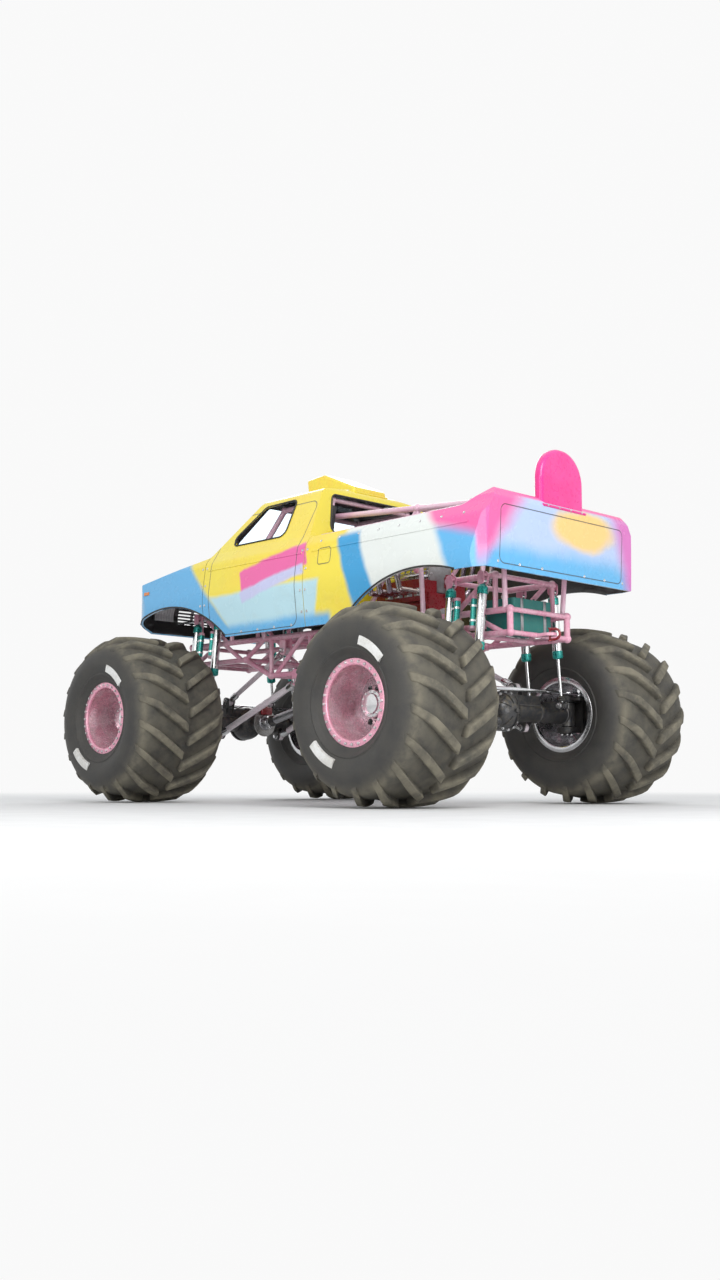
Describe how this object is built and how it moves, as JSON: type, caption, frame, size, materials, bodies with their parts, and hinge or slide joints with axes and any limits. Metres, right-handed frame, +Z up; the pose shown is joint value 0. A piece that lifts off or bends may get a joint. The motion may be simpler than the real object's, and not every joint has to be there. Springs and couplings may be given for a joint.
{
  "type": "monster truck",
  "caption": "Full-size arena monster truck: pickup body on a tubular frame, lugged flotation tyres, planetary hubs, steered axles, supercharged engine behind the cab.",
  "frame": {"origin": "on the ground, under the middle of the wheelbase", "axes": "+X forwards, +Y to the truck's left, +Z up"},
  "size_m": [5.2832, 3.8098, 3.3285],
  "materials": {
    "tyre": "dusty",
    "rim": "polished",
    "hub": "satin",
    "knuckle": "satin",
    "axle": "semi-gloss",
    "steering_rod": "polished",
    "ram_barrel": "satin",
    "link": "gloss",
    "shock": "satin",
    "driveshaft": "satin",
    "frame": "gloss",
    "cage": "gloss",
    "body_front": "gloss",
    "body_cab": "gloss",
    "body_bed": "gloss",
    "windscreen": "clear",
    "grille": "gloss",
    "tail_fin": "gloss",
    "roof_scoop": "gloss",
    "engine": "satin",
    "supercharger": "polished",
    "headers": "heat tinted",
    "drop_box": "cast",
    "seat": "matt",
    "steering_wheel": "matt",
    "fuel_cell": "satin"
  },
  "bodies": {
    "chassis": {"axle_housing_front": "axle", "links_front": "link", "shocks_front": "shock", "axle_housing_rear": "axle", "links_rear": "link", "shocks_rear": "shock", "steering_rams": "ram_barrel", "driveshafts": "driveshaft", "frame": "frame", "cab_cage": "cage", "bed_cage": "cage", "body_front": "body_front", "body_cab": "body_cab", "body_bed": "body_bed", "windscreen": "windscreen", "grille_and_lamps": "grille", "tail_fin": "tail_fin", "roof_scoop": "roof_scoop", "engine_block": "engine", "supercharger": "supercharger", "exhaust_headers": "headers", "drop_box": "drop_box", "driver_seat": "seat", "steering_wheel": "steering_wheel", "fuel_cell": "fuel_cell"},
    "knuckle_front_left": {"knuckle_front_left": "knuckle"},
    "wheel_front_left": {"tyre_front_left": "tyre", "rim_front_left": "rim", "hub_front_left": "hub"},
    "knuckle_front_right": {"knuckle_front_right": "knuckle"},
    "wheel_front_right": {"tyre_front_right": "tyre", "rim_front_right": "rim", "hub_front_right": "hub"},
    "tie_rod_front": {"tie_rod_front": "steering_rod"},
    "ram_rod_front": {"ram_rod_front": "steering_rod"},
    "knuckle_rear_left": {"knuckle_rear_left": "knuckle"},
    "wheel_rear_left": {"tyre_rear_left": "tyre", "rim_rear_left": "rim", "hub_rear_left": "hub"},
    "knuckle_rear_right": {"knuckle_rear_right": "knuckle"},
    "wheel_rear_right": {"tyre_rear_right": "tyre", "rim_rear_right": "rim", "hub_rear_right": "hub"},
    "tie_rod_rear": {"tie_rod_rear": "steering_rod"},
    "ram_rod_rear": {"ram_rod_rear": "steering_rod"}
  },
  "joints": [
    {"name": "steer_front_left", "type": "hinge", "parent": "chassis", "child": "knuckle_front_left", "pos_m": [1.8034, 0.98, 0.8382], "axis": [0, 0, 1], "range_deg": [-30, 30]},
    {"name": "spin_front_left", "type": "hinge", "parent": "knuckle_front_left", "child": "wheel_front_left", "pos_m": [1.8034, 1.3589, 0.8382], "axis": [0, 1, 0], "continuous": true},
    {"name": "steer_front_right", "type": "hinge", "parent": "chassis", "child": "knuckle_front_right", "pos_m": [1.8034, -0.98, 0.8382], "axis": [0, 0, 1], "range_deg": [-30, 30]},
    {"name": "spin_front_right", "type": "hinge", "parent": "knuckle_front_right", "child": "wheel_front_right", "pos_m": [1.8034, -1.3589, 0.8382], "axis": [0, 1, 0], "continuous": true},
    {"name": "tie_rod_pivot_front", "type": "hinge", "parent": "knuckle_front_left", "child": "tie_rod_front", "pos_m": [1.9534, 0.98, 1.0262], "axis": [0, 0, 1], "range_deg": [-30, 30]},
    {"name": "ram_slide_front", "type": "slide", "parent": "chassis", "child": "ram_rod_front", "axis": [0, 1, 0], "range_m": [-0.0752, 0.0752]},
    {"name": "steer_rear_left", "type": "hinge", "parent": "chassis", "child": "knuckle_rear_left", "pos_m": [-1.8034, 0.98, 0.8382], "axis": [0, 0, 1], "range_deg": [-25, 25]},
    {"name": "spin_rear_left", "type": "hinge", "parent": "knuckle_rear_left", "child": "wheel_rear_left", "pos_m": [-1.8034, 1.3589, 0.8382], "axis": [0, 1, 0], "continuous": true},
    {"name": "steer_rear_right", "type": "hinge", "parent": "chassis", "child": "knuckle_rear_right", "pos_m": [-1.8034, -0.98, 0.8382], "axis": [0, 0, 1], "range_deg": [-25, 25]},
    {"name": "spin_rear_right", "type": "hinge", "parent": "knuckle_rear_right", "child": "wheel_rear_right", "pos_m": [-1.8034, -1.3589, 0.8382], "axis": [0, 1, 0], "continuous": true},
    {"name": "tie_rod_pivot_rear", "type": "hinge", "parent": "knuckle_rear_left", "child": "tie_rod_rear", "pos_m": [-1.9534, 0.98, 1.0262], "axis": [0, 0, 1], "range_deg": [-25, 25]},
    {"name": "ram_slide_rear", "type": "slide", "parent": "chassis", "child": "ram_rod_rear", "axis": [0, 1, 0], "range_m": [-0.0636, 0.0636]}
  ],
  "couplings": [
    {"joint": "steer_front_right", "follows": "steer_front_left", "ratio": 1},
    {"joint": "tie_rod_pivot_front", "follows": "steer_front_left", "ratio": -1},
    {"joint": "ram_slide_front", "follows": "steer_front_left", "m_per_rad": 0.14324},
    {"joint": "steer_rear_right", "follows": "steer_rear_left", "ratio": 1},
    {"joint": "tie_rod_pivot_rear", "follows": "steer_rear_left", "ratio": -1},
    {"joint": "ram_slide_rear", "follows": "steer_rear_left", "m_per_rad": -0.14529}
  ]
}
